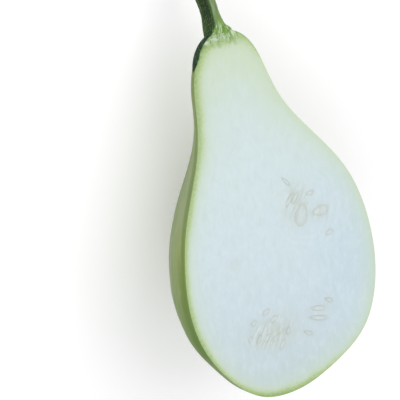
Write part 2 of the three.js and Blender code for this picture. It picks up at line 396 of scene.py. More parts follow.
def flesh_colour(n):
    """The cut flesh, from the attributes that the fruit, stem and seeds share."""
    face = n.attr("face", vector=True)      # x, y on the cut face in cm
    along = n.attr("along")                 # 0 blossom end, 1 shoulder
    k = FLESH_GAIN
    base = n.ramp(along, [(0.0, srgb(196, 212, 217, k)), (0.16, srgb(203, 218, 224, k)),
                          (0.40, srgb(210, 225, 230, k)), (0.62, srgb(212, 227, 228, k)),
                          (0.78, srgb(211, 226, 221, k)), (0.93, srgb(207, 222, 199, k)),
                          (1.0, srgb(199, 217, 182, k))])
    # Painted shade: cooler, bluer flesh on the side away from the light; the faint line and traces right of the seed
    # rooms share the mask.
    base = n.mix(n.attr("painted_shade_and_lines"), base, srgb(200, 218, 230, k))
    # Faint lengthwise fibres and clouds.
    fibre = n.noise(n.scaled(face, (7.0, 0.7, 1.0)), 1.0, 4.0, 0.6, 0.8)
    base = n.mix(n.span(fibre, 0.46, 0.74, 0.0, 0.20), base, srgb(221, 233, 236, k))
    base = n.mix(n.span(fibre, 0.48, 0.24, 0.0, 0.16), base, srgb(196, 214, 216, k))
    cloud = n.noise(n.scaled(face, (0.8, 0.5, 1.0), (3.1, 7.7, 0.0)), 1.0, 3.0, 0.55)
    base = n.mix(n.span(cloud, 0.45, 0.75, 0.0, 0.35), base, srgb(216, 230, 236, k))
    blotch = n.noise(n.scaled(face, (2.6, 1.7, 1.0), (1.3, 2.9, 0.0)), 1.0, 5.0, 0.62, 0.6)
    calm = n.span(along, 0.85, 0.55, 0.45, 1.0)
    base = n.mix(n.math("MULTIPLY", n.span(blotch, 0.49, 0.68, 0.0, 0.31), calm), base, srgb(224, 235, 241, k))
    base = n.mix(n.math("MULTIPLY", n.span(blotch, 0.49, 0.30, 0.0, 0.28), calm), base, srgb(194, 211, 210, k))
    pore = n.noise(n.scaled(face, (26.0, 20.0, 1.0)), 1.0, 2.0, 0.6)
    base = n.mix(n.span(pore, 0.52, 0.74, 0.0, 0.22), base, srgb(190, 208, 208, k))
    # The seed rooms: a little greyer and warmer.
    base = n.mix(n.attr("warm"), base, srgb(194, 203, 188, k))
    base = n.mix(n.attr("tan"), base, srgb(182, 184, 158, k))
    base = n.mix(n.attr("milk"), base, srgb(222, 232, 234, k))
    # Wide pale green cast, then the green rind layer itself.
    base = n.mix(n.attr("cast"), base, srgb(203, 219, 178, k))
    grain = n.noise(n.scaled(face, (6.0, 6.0, 1.0)), 1.0, 4.0, 0.65)
    amount = n.math("MULTIPLY", n.attr("green"), n.span(grain, 0.25, 0.75, 0.82, 1.18), clamp=True)
    green = n.ramp(amount, [(0.0, srgb(210, 225, 220, k)), (0.35, srgb(190, 209, 162, k)),
                            (0.7, srgb(156, 182, 118, k)), (1.0, srgb(126, 156, 80, k))])
    base = n.mix(n.span(amount, 0.0, 0.4, 0.0, 1.0, "LINEAR"), base, green)
    return base, face, fibre, grain


def strand_colour(n, face):
    """Bright green, wet, stringy tissue where the stalk runs into the shoulder."""
    k = FLESH_GAIN
    flow = n.attr("flow", vector=True)
    threads = n.noise(n.scaled(flow, (1.0, 1.0, 1.0)), 1.0, 3.0, 0.6, 0.3)
    col = n.ramp(threads, [(0.30, srgb(62, 104, 22, k)), (0.46, srgb(92, 134, 38, k)),
                           (0.57, srgb(126, 164, 70, k)), (0.72, srgb(164, 192, 120, k))])
    col = n.mix(n.math("MULTIPLY", n.attr("pale_root"), 0.70), col, srgb(162, 189, 120, k))
    spots = n.noise(n.scaled(face, (16.0, 16.0, 1.0), (4.0, 1.0, 0.0)), 1.0, 2.0, 0.5)
    col = n.mix(n.span(spots, 0.56, 0.70, 0.0, 0.35), col, srgb(206, 220, 190, k))
    # Whitish threads and spots: partly the threads' own pale colour, partly painted wet glints.
    return n.mix(n.attr("wet_glint"), col, srgb(226, 238, 224, k))


def flesh_surface(n):
    base, face, fibre, grain = flesh_colour(n)
    return n.mix(n.attr("strand"), base, strand_colour(n, face)), face, fibre, grain


def flesh_material():
    n = Nodes("cut_flesh")
    base, face, fibre, grain = flesh_surface(n)
    wet_glint = n.noise(n.scaled(face, (7.0, 7.0, 1.0), (5.0, 2.0, 0.0)), 1.0, 3.0, 0.6)
    fine = n.math("ADD", n.math("MULTIPLY", fibre, 0.6), n.math("MULTIPLY", grain, 0.4))
    normal = n.bump(fine, 0.20, 0.0003)
    rough = n.math("SUBTRACT", n.span(wet_glint, 0.3, 0.7, 0.34, 0.50), n.math("MULTIPLY", n.attr("wet_glint"), 0.14))
    return n.finish(Base_Color=base, Roughness=rough, Normal=normal, IOR=1.38,
                    Subsurface_Weight=0.22, Subsurface_Radius=(1.0, 1.15, 0.85),
                    Subsurface_Scale=0.0022)


def skin_material():
    n = Nodes("rind_skin")
    flow = n.attr("flow", vector=True)      # round in cm, along in cm
    along = n.attr("along")
    k = 0.63
    # Slow change of green, then lengthwise streaks at two scales.
    big = n.noise(n.scaled(flow, (0.30, 0.14, 1.0)), 1.0, 2.0, 0.5, 0.3)
    streak = n.noise(n.scaled(flow, (0.85, 0.12, 1.0), (2.0, 0.0, 4.0)), 1.0, 4.0, 0.55, 0.35)
    fine = n.noise(n.scaled(flow, (3.0, 0.30, 1.0), (9.0, 1.0, 2.0)), 1.0, 4.0, 0.62, 0.35)
    base = n.ramp(streak, [(0.26, srgb(106, 132, 36, k)), (0.40, srgb(130, 154, 60, k)),
                           (0.50, srgb(150, 171, 90, k)), (0.60, srgb(166, 183, 116, k)),
                           (0.76, srgb(180, 194, 142, k))])
    base = n.mix(n.span(fine, 0.50, 0.78, 0.0, 0.34), base, srgb(178, 197, 144, k))
    base = n.mix(n.span(fine, 0.47, 0.24, 0.0, 0.36), base, srgb(106, 138, 56, k))
    base = n.mix(n.span(big, 0.46, 0.66, 0.0, 0.55), base, srgb(170, 184, 146, k))
    base = n.mix(n.span(big, 0.47, 0.30, 0.0, 0.45), base, srgb(118, 144, 36, k))
    # Fine mottling, in lighter and darker spots.
    mottle = n.noise(n.scaled(flow, (4.2, 2.6, 1.0), (1.0, 5.0, 2.0)), 1.0, 5.0, 0.65, 0.4)
    base = n.mix(n.span(mottle, 0.52, 0.74, 0.0, 0.30), base, srgb(186, 202, 158, k))
    base = n.mix(n.span(mottle, 0.46, 0.28, 0.0, 0.24), base, srgb(104, 134, 58, k))
    # Whitish bloom in soft clouds.
    bloom = n.noise(n.scaled(flow, (0.55, 0.30, 1.0), (4.0, 8.0, 1.0)), 1.0, 4.0, 0.6, 0.3)
    base = n.mix(n.span(bloom, 0.50, 0.74, 0.0, 0.50), base, srgb(186, 199, 166, k))
    # Thin dark veins that start and stop.
    sep = n.node("ShaderNodeSeparateXYZ")
    n.put(sep.inputs[0], flow)
    for number, (spread, weight, offset) in enumerate(((0.62, 0.80, 1.0), (0.41, 0.55, 5.5))):
        bend = n.noise(n.scaled(flow, (0.35, 0.26, 1.0), (offset, 3.0, 7.0)), 1.0, 3.0, 0.5)
        line = n.math("ADD", n.math("MULTIPLY", sep.outputs[0], spread), n.math("MULTIPLY", bend, 2.1))
        near = n.math("ABSOLUTE", n.math("SUBTRACT", n.math("FRACT", line), 0.5))
        width = n.span(n.noise(n.scaled(flow, (1.0, 0.8, 1.0), (0.0, offset, 0.0)), 1.0, 1.0), 0.3, 0.7, 0.010, 0.026)
        thin = n.math("SUBTRACT", 1.0, n.math("DIVIDE", near, width), clamp=True)
        gate = n.noise(n.scaled(flow, (0.9, 0.16, 1.0), (6.0, offset + 6.0, 6.0)), 1.0, 1.0, 0.5)
        vein = n.math("MULTIPLY", thin, n.span(gate, 0.50, 0.60, 0.0, weight))
        base = n.mix(vein, base, srgb(84, 108, 28, k))
    # Pale specks.
    speck = n.voronoi(n.scaled(flow, (7.0, 6.0, 1.0)), 1.0)
    base = n.mix(n.span(speck, 0.16, 0.05, 0.0, 0.40), base, srgb(205, 217, 186, k))
    # Next to the cut: a lighter yellowish strip, then a darker olive band, painted highlight and painted shade from the
    # cut's edge.
    rim = n.attr("rimside")                 # mm from the cut, along the skin
    wander = n.math("ADD", rim, n.math("MULTIPLY", n.math("SUBTRACT", streak, 0.5), 6.0))
    painted_shade_band = n.math("MULTIPLY", n.span(wander, 0.6, 2.2), n.span(wander, 6.5, 3.6))
    base = n.mix(n.math("MULTIPLY", painted_shade_band, 0.55), base, srgb(112, 142, 40, k))
    base = n.mix(n.span(wander, 1.8, 0.2, 0.0, 0.50), base, srgb(158, 182, 92, k))
    # Greener towards both ends, small brown scar where the blossom was.
    base = n.mix(n.math("MULTIPLY", n.span(along, 0.36, 0.12), n.span(streak, 0.75, 0.35, 0.55, 0.90)), base, srgb(98, 134, 24, k))
    base = n.mix(n.span(along, 0.90, 1.0, 0.0, 0.55), base, srgb(110, 142, 68, k))
    scar = n.attr("scar")
    base = n.mix(scar, base, srgb(142, 122, 84, k))
    base = n.mix(n.span(along, 0.45, 0.15, 0.12, 0.22), base, srgb(104, 138, 14, k))
    low = n.math("MULTIPLY", n.span(along, 0.43, 0.25, 0.0, 0.34), n.span(along, 0.08, 0.17, 0.0, 1.0))
    base = n.mix(low, base, srgb(84, 124, 26, k))
    height = n.math("ADD", n.math("MULTIPLY", fine, 0.4), n.math("MULTIPLY", mottle, 0.4))
    pores = n.noise(n.scaled(flow, (16.0, 14.0, 1.0)), 1.0, 2.0, 0.6)
    normal = n.bump(pores, 0.12, 0.0002, n.bump(height, 0.22, 0.0004))
    rough = n.span(bloom, 0.35, 0.75, 0.40, 0.58)
    return n.finish(Base_Color=base, Roughness=rough, Normal=normal, IOR=1.42,
                    Specular_IOR_Level=0.26, Subsurface_Weight=0.08, Subsurface_Radius=(1.0, 1.2, 0.6),
                    Subsurface_Scale=0.0012)


def stem_material():
    n = Nodes("stem_skin")
    flow = n.attr("turn", vector=True)      # round in cm, along in cm
    ridge = n.attr("ridge")                 # -1 in a groove, 1 on a rib
    foot = n.attr("foot")
    k = 0.84
    streak = n.noise(n.scaled(flow, (9.0, 0.9, 1.0)), 1.0, 4.0, 0.6, 0.2)
    base = n.ramp(streak, [(0.30, srgb(20, 38, 10, k)), (0.5, srgb(34, 58, 20, k)),
                           (0.7, srgb(60, 88, 40, k))])
    # Painted highlight on the rib crests and painted shade in the grooves.
    base = n.mix(n.span(ridge, 0.4, 1.0, 0.0, 0.35), base, srgb(80, 110, 56, k))
    base = n.mix(n.span(ridge, -0.2, -1.0, 0.0, 0.5), base, srgb(30, 50, 20, k))
    # Painted light: one side of the stalk is painted a paler grey green, as if lit.
    painted_lit_side = n.ramp(streak, [(0.30, srgb(104, 132, 80, k)), (0.5, srgb(128, 154, 102, k)),
                           (0.7, srgb(154, 174, 132, k))])
    base = n.mix(n.attr("painted_lit_side"), base, painted_lit_side)
    # Bright, fresher green just above the cut.
    base = n.mix(n.attr("fresh"), base, srgb(112, 148, 66, k))
    # The lobes on the shoulder are a colder, deeper green.
    deep = n.ramp(streak, [(0.3, srgb(14, 38, 16, k)), (0.5, srgb(24, 52, 26, k)), (0.72, srgb(52, 84, 54, k))])
    base = n.mix(foot, base, deep)
    speck = n.voronoi(n.scaled(flow, (14.5, 11.0, 1.0)), 1.0)
    base = n.mix(n.span(speck, 0.32, 0.12, 0.0, 0.54), base, srgb(136, 160, 118, k))
    speck2 = n.voronoi(n.scaled(flow, (26.0, 20.0, 1.0), (3.0, 1.0, 0.0)), 1.0)
    base = n.mix(n.span(speck2, 0.26, 0.10, 0.0, 0.28), base, srgb(112, 140, 92, k))
    dust = n.noise(n.scaled(flow, (4.0, 3.0, 1.0), (2.0, 2.0, 2.0)), 1.0, 4.0, 0.6)
    base = n.mix(n.span(dust, 0.55, 0.85, 0.0, 0.30), base, srgb(126, 150, 118, k))
    # Dry, paler, fibrous end where the stalk was cut from the vine.
    tip = n.attr("tip")
    pith = n.noise(n.scaled(n.attr("face", vector=True), (14.0, 14.0, 1.0)), 1.0, 4.0, 0.65)
    tip_col = n.ramp(pith, [(0.3, srgb(150, 158, 104, k)), (0.5, srgb(186, 190, 142, k)),
                            (0.7, srgb(208, 210, 172, k))])
    base = n.mix(tip, base, tip_col)
    # The knife's plane, shared with the flesh.
    cut, _, fibre, grain = flesh_surface(n)
    base = n.mix(n.attr("cut"), base, cut)
    height = n.math("ADD", n.math("MULTIPLY", streak, 0.7), n.math("MULTIPLY", speck, 0.3))
    normal = n.bump(height, 0.40, 0.0004)
    rough = n.math("SUBTRACT", n.span(dust, 0.3, 0.8, 0.55, 0.72), n.math("MULTIPLY", n.attr("cut"), 0.22))
    return n.finish(Base_Color=base, Roughness=rough, Normal=normal, Specular_IOR_Level=0.22,
                    Subsurface_Weight=0.05, Subsurface_Scale=0.0008)


def seed_material():
    n = Nodes("seed_coat")
    base, face, fibre, grain = flesh_colour(n)
    edge = n.attr("edge")                   # 0 in the middle, 1 at the outline
    k = FLESH_GAIN
    base = n.mix(0.35, base, srgb(208, 218, 214, k))
    margin = n.math("MULTIPLY", n.span(edge, 0.60, 0.86, 0.0, 1.0), n.span(edge, 1.0, 0.90, 0.35, 1.0))
    base = n.mix(n.math("MULTIPLY", margin, 0.24), base, srgb(190, 188, 162, k))
    base = n.mix(n.span(edge, 0.60, 0.0, 0.0, 0.35), base, srgb(220, 230, 229, k))
    fleck = n.noise(n.scaled(face, (16.0, 16.0, 1.0)), 1.0, 3.0, 0.6)
    base = n.mix(n.span(fleck, 0.5, 0.75, 0.0, 0.16), base, srgb(192, 196, 176, k))
    normal = n.bump(fleck, 0.2, 0.0002)
    return n.finish(Base_Color=base, Roughness=n.span(fleck, 0.3, 0.7, 0.3, 0.42), Normal=normal,
                    IOR=1.4, Subsurface_Weight=0.3, Subsurface_Radius=(1.0, 1.1, 0.9),
                    Subsurface_Scale=0.0015)


MAT_FLESH = flesh_material()
MAT_SKIN = skin_material()
MAT_STEM = stem_material()
MAT_SEED = seed_material()

# ------------------------------------------------------------------ cut face
THREAD_FROM = np.array([-17.5, 224.0])
LEFT_LIMIT = (np.array([180.0, 188.5, 192.9, 197.1, 198.4, 200.6, 202.6, 205.5, 209.0]),
              np.array([-37.5, -33.2, -31.2, -28.4, -26.8, -23.7, -20.8, -19.4, -17.9]))


def thread_coords(xy):
    """Polar coordinates of the threads that fan out from the stalk."""
    d = xy - THREAD_FROM
    r = np.hypot(d[:, 0], d[:, 1])
    th = np.arctan2(d[:, 0], -d[:, 1])
    return th, r


def face_fields(xy):
    """The colour fields of the cut face at points x, y in mm."""
    xy = np.asarray(xy, float).reshape(-1, 2)
    x, y = xy[:, 0], xy[:, 1]
    o = 0 * x
    d, t = rim_distance(xy)
    # How green the rind layer is and how deep it goes, round the outline: t is
    # 0 at the blossom end, 0.25 on the left, 0.5 at the shoulder, 0.75 right.
    lv, rc = np.interp(t, TURNS, LEVEL), np.interp(t, TURNS, REACH)
    wob = 1 + 0.18 * noise(np.stack([x / 7, y / 7, o], -1), 5)
    green = lv * np.exp(-(np.maximum(d, 0) / (rc * wob)) ** 1.15)
    green = green + np.interp(t, [0.48, 0.50, 0.56, 0.60], [0.0, 0.45, 0.35, 0.0]) * np.exp(-(d / 0.55) ** 2)
    cast = np.interp(t, TURNS, CAST) * np.exp(-(d / np.interp(t, TURNS, CAST_REACH)) ** 1.3)
    # Painted shade: bluer towards the right side and the lower part of the face.
    painted_shade_and_lines = 0.75 * smooth(5, 60, x) * smooth(150, 90, y)
    warm = np.zeros(len(xy))
    for cx, cy, rx, ry, w in ((16, 103, 11, 13, 0.34), (31, 95, 8, 6, 0.30), (-9, 36, 16, 9, 0.48),
                              (23, 40, 9, 5, 0.20), (-27, 78, 4, 4, 0.20), (30, 44, 4, 3, 0.15),
                              (35, 82, 4, 3, 0.15), (14, 30, 4, 2.5, 0.15)):
        warm = np.maximum(warm, w * np.exp(-(((x - cx) / rx) ** 2 + ((y - cy) / ry) ** 2) ** 1.3))
    warm_zone = warm.copy()
    warm *= 0.65 + 0.7 * (0.5 + 0.5 * noise(np.stack([x / 2.6, y / 3.0, o], -1), 9))
    # Fine strokes lying the way the seeds lie.
    ca, sa = math.cos(math.radians(57)), math.sin(math.radians(57))
    u, v = x * ca + y * sa, -x * sa + y * ca
    bend = 0.7 * noise(np.stack([x / 5, y / 5, o], -1), 15)
    strokes = noise(np.stack([u / 4.2, (v + bend) / 0.85, o], -1), 16)
    tan = smooth(0.15, 0.60, strokes) * smooth(0.10, 0.34, warm_zone) * 0.24
    milk = smooth(-0.20, -0.60, strokes) * smooth(0.10, 0.34, warm_zone) * 0.55
    near = np.full(len(xy), 9.0)
    for seed in SEEDS:
        rho = seed_local(seed, xy)[2]
        near = np.minimum(near, np.abs(rho - 1) * seed[4] / 2)
    tan = np.maximum(tan, 0.13 * np.exp(-(near / 0.40) ** 2))
    # Curved traces round the upper seeds, and the long line on the right.
    r = np.hypot(x - 21, (y - 99) * 0.9) + 1.4 * noise(np.stack([x / 9, y / 9, o], -1), 17)
    arcs = np.sin(2 * math.pi * r / 3.6) * smooth(11, 14, r) * smooth(27, 20, r) * smooth(-0.6, 0.5, (x - 21 - 0.9 * (y - 99)) / (r + 1))
    milk = np.maximum(milk, 0.30 * np.clip(arcs, 0, 1))
    line = long_line(xy)
    painted_shade_and_lines = np.clip(painted_shade_and_lines + 0.35 * line + 0.12 * np.clip(-arcs, 0, 1), 0, 1)
    # Threads that run out of the stalk into the shoulder.
    edge_noise = 0.9 * noise(np.stack([x / 1.8, y / 2.4, o], -1), 3) + 0.5 * noise(np.stack([x / 0.7, y / 1.2, o], -1), 4)
    strand = 0.95 * smooth(192.6, 199.2, y + edge_noise * 1.3) * (0.25 + 0.75 * smooth(-3.0, -10.5, x + edge_noise)) * smooth(3, -2, x)
    strand = np.maximum(strand, 0.8 * smooth(1.8, 0.6, d) * smooth(-24, -27, x) * smooth(188, 190, y))
    th, r = thread_coords(xy)
    sway = 1.1 * noise(np.stack([x / 2.6, y / 2.6, o], -1), 6)
    lines = np.abs(noise(np.stack([th * 24 + 0.8 * sway, r / 3.6, o], -1), 7))
    lines2 = np.abs(noise(np.stack([th * 20 - sway, r / 2.8, o + 5], -1), 27))
    patch = smooth(-0.45, 0.15, noise(np.stack([x / 2.4, y / 2.8, o + 9], -1), 33))
    long = noise(np.stack([th * 50 + sway, r / 3.6, o + 3], -1), 7)
    # Painted highlight in part: whitish wet glints along the threads, on top of their own pale colour.
    wet_glint = np.maximum(0.55 * smooth(0.28, 0.10, lines) * patch, 0.75 * smooth(0.30, 0.52, long)) * smooth(195.0, 198.0, y) * smooth(207.5, 204.5, y) * smooth(-6.5, -9.0, x)
    wet_glint = np.maximum(wet_glint, 0.50 * smooth(0.26, 0.08, lines2) * patch * smooth(194.0, 196.0, y) * smooth(205, 202, y) * smooth(-2.5, -6.0, x))
    # Painted highlight: whitish wet-glint spots near the stalk's foot.
    blob = np.zeros(len(xy))
    for cx, cy, rx, ry in ((-26.0, 197.3, 2.4, 1.5), (-21.4, 198.6, 3.2, 1.6), (-30.3, 191.3, 0.9, 2.6), (-9.2, 200.3, 1.6, 1.3)):
        blob = np.maximum(blob, np.exp(-(((x - cx) / rx) ** 2 + ((y - cy) / ry) ** 2)))
    speckle = noise(np.stack([x / 0.8, y / 0.9, o], -1), 10)
    wet_glint = np.maximum(wet_glint, 0.8 * smooth(0.34, 0.95, blob + 0.26 * speckle))
    # The cut edge of the rind is a little duller than the flesh inside it.
    tan = np.maximum(tan, 0.40 * smooth(2.6, 0.3, d) * smooth(0, -12, x) * smooth(12, 40, y) * smooth(188, 175, y))
    tan = np.maximum(tan, 0.30 * smooth(1.1, 0.2, d) * smooth(5, 20, x) * smooth(5, 20, y) * smooth(185, 165, y))
    green = np.maximum(green, 0.85 * smooth(0.75, 0.2, d) * smooth(-13, -9, x) * smooth(19, 9, x) * smooth(180, 188, y))
    pale_root = smooth(205, 196, y) * 0.50 + smooth(-14, -8, x) * 0.12
    return dict(green=np.clip(green, 0, 1), cast=np.clip(cast, 0, 1), painted_shade_and_lines=painted_shade_and_lines,
                warm=np.clip(warm, 0, 1), tan=np.clip(tan, 0, 1), milk=np.clip(milk, 0, 1),
                strand=np.clip(strand, 0, 1), wet_glint=np.clip(wet_glint, 0, 1) * 0.85, pale_root=np.clip(pale_root, 0, 1),
                along=np.clip(y / 202.4, 0, 1), face=np.stack([x / 10, y / 10, o], -1),
                flow=np.stack([th * 26, r / 4.0, o + 2.0], -1))


TURNS = [0.0, 0.04, 0.09, 0.15, 0.22, 0.30, 0.38, 0.43, 0.47, 0.50, 0.54, 0.58, 0.62, 0.70, 0.78, 0.86, 0.92, 0.965, 1.0]
LEVEL = [0.90, 0.88, 0.60, 0.72, 0.62, 0.66, 0.72, 0.80, 0.86, 0.92, 0.64, 0.40, 0.24, 0.22, 0.24, 0.26, 0.36, 0.74, 0.90]
REACH = [3.5, 3.0, 2.4, 2.6, 2.3, 3.5, 4.7, 5.3, 6.8, 7.3, 6.0, 5.0, 4.6, 4.4, 3.8, 3.6, 3.4, 3.6, 3.5]
CAST = [0.55, 0.55, 0.55, 0.55, 0.55, 0.6, 0.65, 0.7, 0.85, 0.85, 0.8, 0.7, 0.6, 0.5, 0.5, 0.5, 0.5, 0.55, 0.55]
CAST_REACH = [9, 8, 7, 7, 6, 7, 8, 10, 13, 14, 13, 11, 10, 9, 8, 8, 9, 9, 9]


def long_line(xy):
    """The faint curved line right of the seed rooms: 1 on it."""
    x, y = xy[:, 0], xy[:, 1]
    at = 41.0 + 2.6 * np.sin(np.clip((y - 45) / 31 * math.pi, 0, math.pi)) + 0.5 * noise(np.stack([0 * x, y / 9, 0 * x], -1), 14)
    return np.exp(-((x - at) / 0.6) ** 2) * smooth(42, 50, y) * smooth(80, 72, y)


def root_relief(xy, fields):
    """Threads standing out of the cut where the stalk begins, in mm."""
    x, y = xy[:, 0], xy[:, 1]
    zone = fields["strand"]
    th, r = thread_coords(xy)
    rough = noise(np.stack([th * 30, r / 3.5, 0 * x], -1), 18)
    return zone * (0.10 * rough + 0.16 * fields["wet_glint"] / 0.9 + 0.05 * noise(np.stack([x / 0.7, y / 0.9, 0 * x], -1), 19))


def face_height(xy, fields=None):
    """Relief of the cut face in mm."""
    xy = np.asarray(xy, float).reshape(-1, 2)
    fields = fields or face_fields(xy)
    x, y = xy[:, 0], xy[:, 1]
    d, _ = rim_distance(xy)
    z = 0.10 * noise(np.stack([x / 26, y / 38, 0 * x], -1), 11)
    z += 0.035 * noise(np.stack([x / 3.2, y / 30, 0 * x], -1), 12)
    z += 0.035 * noise(np.stack([x / 5.0, y / 6.0, 0 * x], -1), 13)
    z -= 0.14 * long_line(xy)
    z += 0.06 * fields["milk"] - 0.05 * fields["tan"]
    z += root_relief(xy, fields)
    z *= smooth(0.0, 2.0, d)
    for seed in SEEDS:
        px, py, rho = seed_local(seed, xy, -0.08)
        bowl = (seed[6] - 0.1) * np.sqrt(np.clip(1 - rho * rho, 0, 1)) + 0.25
        z = np.where(rho < 1, -bowl * smooth(0.0, 0.10, 1 - rho) + z * (1 - smooth(0.0, 0.10, 1 - rho)), z)
        away = np.maximum(rho - 1, 0) * (seed[4] / 2)
        z = np.where(rho >= 1, z - 0.02 * np.exp(-(away / 0.4) ** 2), z)
    return z


def build_gourd():
    ns, na = 300, 170
    s = np.arange(1, ns) / ns
    w = np.arange(na + 1) / na
    a = math.pi + math.pi * (w - 0.78 * np.sin(2 * math.pi * w) / (2 * math.pi))
    sg, ag = np.meshgrid(s, a, indexing="ij")
    p = on_fruit(sg, ag)
    nrm = fruit_normal(sg, ag)
    # Low ribs and swellings that fade out towards the rim of the cut.
    rim_fade = smooth(0.0, 9.0, section(sg)[3] * np.minimum(ag - math.pi, 2 * math.pi - ag))
    ribs = 0.30 * np.cos(9 * ag + 1.1 + 0.7 * np.sin(math.pi * sg * 1.3)) * smooth(0.05, 0.35, sg) * smooth(1.0, 0.6, sg)
    swell = 0.55 * noise(p / 31.0, 1) + 0.20 * noise(p / 12.0, 2) + 0.05 * noise(p / 4.0, 4)
    lift = (ribs + swell) * rim_fade
    # Small dimple with a button where the blossom was.
    pole = outline_at(np.array([0.0]))[0]
    dist_pole = np.sqrt((p[..., 0] - pole[0]) ** 2 + (p[..., 2]) ** 2 + (p[..., 1] - pole[1]) ** 2)
    lift -= 0.9 * np.exp(-(dist_pole / 6.0) ** 2) - 0.5 * np.exp(-(dist_pole / 2.2) ** 2)
    p = p + nrm * lift[..., None]
    scar = smooth(3.4, 1.6, dist_pole + 0.6 * noise(p / 1.3, 8))

    # Rim: a small rounded edge between rind and cut face.
    e = 0.28
    zfix = -e
    p[:, 0, 2] = zfix
    p[:, -1, 2] = zfix
    p[:, 1:-1, 2] = np.minimum(p[:, 1:-1, 2], zfix - 0.02)
    t_left, t_right = s / 2, 1 - s / 2

    def inward(t):
        q0, q1 = outline_at(t - 1e-4), outline_at(t + 1e-4)
        g = q1 - q0
        g /= np.linalg.norm(g, axis=-1, keepdims=True)
        return np.stack([g[:, 1], -g[:, 0]], -1)

    # Outline order: blossom end, left side up, shoulder, right side down.
    t_loop = np.concatenate([[0.0], t_left, [0.5], t_right[::-1]])
    base_loop = outline_at(t_loop)
    n_in = inward(t_loop)

    # Check direction: the inward normal must point to the middle.
    if ((np.array([4.0, 70.0]) - base_loop[60]) * n_in[60]).sum() < 0:
        n_in = -n_in

    verts = []
    attrs = {k: [] for k in ("green", "cast", "painted_shade_and_lines", "warm", "tan", "milk", "strand", "wet_glint", "pale_root", "along", "face", "flow", "scar", "rimside")}

    def add(points, fields, count=None):
        start = sum(len(v) for v in verts)
        verts.append(points)
        m = len(points)
        for key in attrs:
            v = fields.get(key)
            if v is None:
                v = np.zeros((m, 3)) if key in ("face", "flow") else np.zeros(m)
            attrs[key].append(v)
        return start

    rows = len(s)
    flat = p.reshape(-1, 3)
    round_cm = (ag - 1.5 * math.pi) * 5.5
    along_cm = np.broadcast_to((s * 20.0)[:, None], sg.shape)
    rimside = section(sg)[3] * np.minimum(ag - math.pi, 2 * math.pi - ag)
    skin_fields = dict(along=(p[..., 1] / 202.4).ravel(), scar=scar.ravel(), rimside=rimside.ravel(),
                       flow=np.stack([round_cm.ravel(), along_cm.ravel(), 0 * round_cm.ravel()], -1),
                       face=flat[:, [0, 1, 2]] / 10)
    skin0 = add(flat, skin_fields)
    ends = np.array([[base_loop[0][0], base_loop[0][1] + 0.5, zfix], [base_loop[rows + 1][0], base_loop[rows + 1][1] - 0.1, zfix]])
    end_fields = dict(along=np.array([0.0, 1.0]), scar=np.array([1.0, 0.0]),
                      flow=np.array([[0, 0, 0], [0, 20.0, 0]]))
    ends0 = add(ends, end_fields)

    loop_a = np.concatenate([[ends0], skin0 + np.arange(rows) * (na + 1), [ends0 + 1],
                             skin0 + np.arange(rows)[::-1] * (na + 1) + na])
    m = len(loop_a)
    rings = [loop_a]
    for inset, z in ((0.12 * e, -0.55 * e), (0.45 * e, -0.14 * e), (e, 0.0), (2.2 * e, 0.0)):
        xy = base_loop + n_in * inset
        if inset > 1.5 * e:
            z_here = face_height(xy)
        else:
            z_here = np.full(m, z)
        q = np.column_stack([xy, z_here])
        rings.append(add(q, face_fields(xy)) + np.arange(m))

    faces, slots = [], []

    def quad(i, j, k2, l2, slot):
        ids = []
        for v in (i, j, k2, l2):
            if v not in ids:
                ids.append(int(v))
        if len(ids) >= 3:
            faces.append(ids)
            slots.append(slot)

    grid = skin0 + np.arange(rows * (na + 1)).reshape(rows, na + 1)
    for i in range(rows - 1):
        for j in range(na):
            quad(grid[i, j], grid[i, j + 1], grid[i + 1, j + 1], grid[i + 1, j], 0)
    for j in range(na):
        quad(ends0, grid[0, j + 1], grid[0, j], ends0, 0)
        quad(ends0 + 1, grid[-1, j], grid[-1, j + 1], ends0 + 1, 0)
    for r0, r1 in zip(rings[:-1], rings[1:]):
        for i in range(m):
            j = (i + 1) % m
            quad(r0[i], r0[j], r1[j], r1[i], 1)

    # The face itself: points laid closer where there is something to show.
    rim_xy = base_loop + n_in * (2.2 * e)
    rng = np.random.default_rng(7)
    lo, hi = rim_xy.min(0), rim_xy.max(0)

    def lattice(step):
        ys = np.arange(lo[1], hi[1], step * 0.866)
        pts = []
        for r, yy in enumerate(ys):
            xs = np.arange(lo[0] + (r % 2) * step / 2, hi[0], step)
            pts.append(np.column_stack([xs, np.full(len(xs), yy)]))
        return np.concatenate(pts)

    def zone(pts):
        near = np.full(len(pts), 9.0)
        for seed in SEEDS:
            px, py, rho = seed_local(seed, pts, -0.08)
            ring = np.abs(rho - 1) * (seed[4] / 2 - 0.08)
            ring = np.where(rho < 1, np.minimum(ring, 0.7), ring)
            near = np.minimum(near, ring)
        top = np.hypot(pts[:, 0] + 15, pts[:, 1] - 197)
        return near, top

    picked = []
    for step, low, high in ((0.30, -1, 0.75), (0.75, 0.75, 3.0), (1.45, 3.0, 99)):
        pts = lattice(step)
        near, top = zone(pts)
        level = np.where((top < 15) & (pts[:, 1] > 190), np.minimum(near, 0.6), near)
        pts = pts[(level >= low) & (level < high)]
        d, _ = rim_distance(pts)
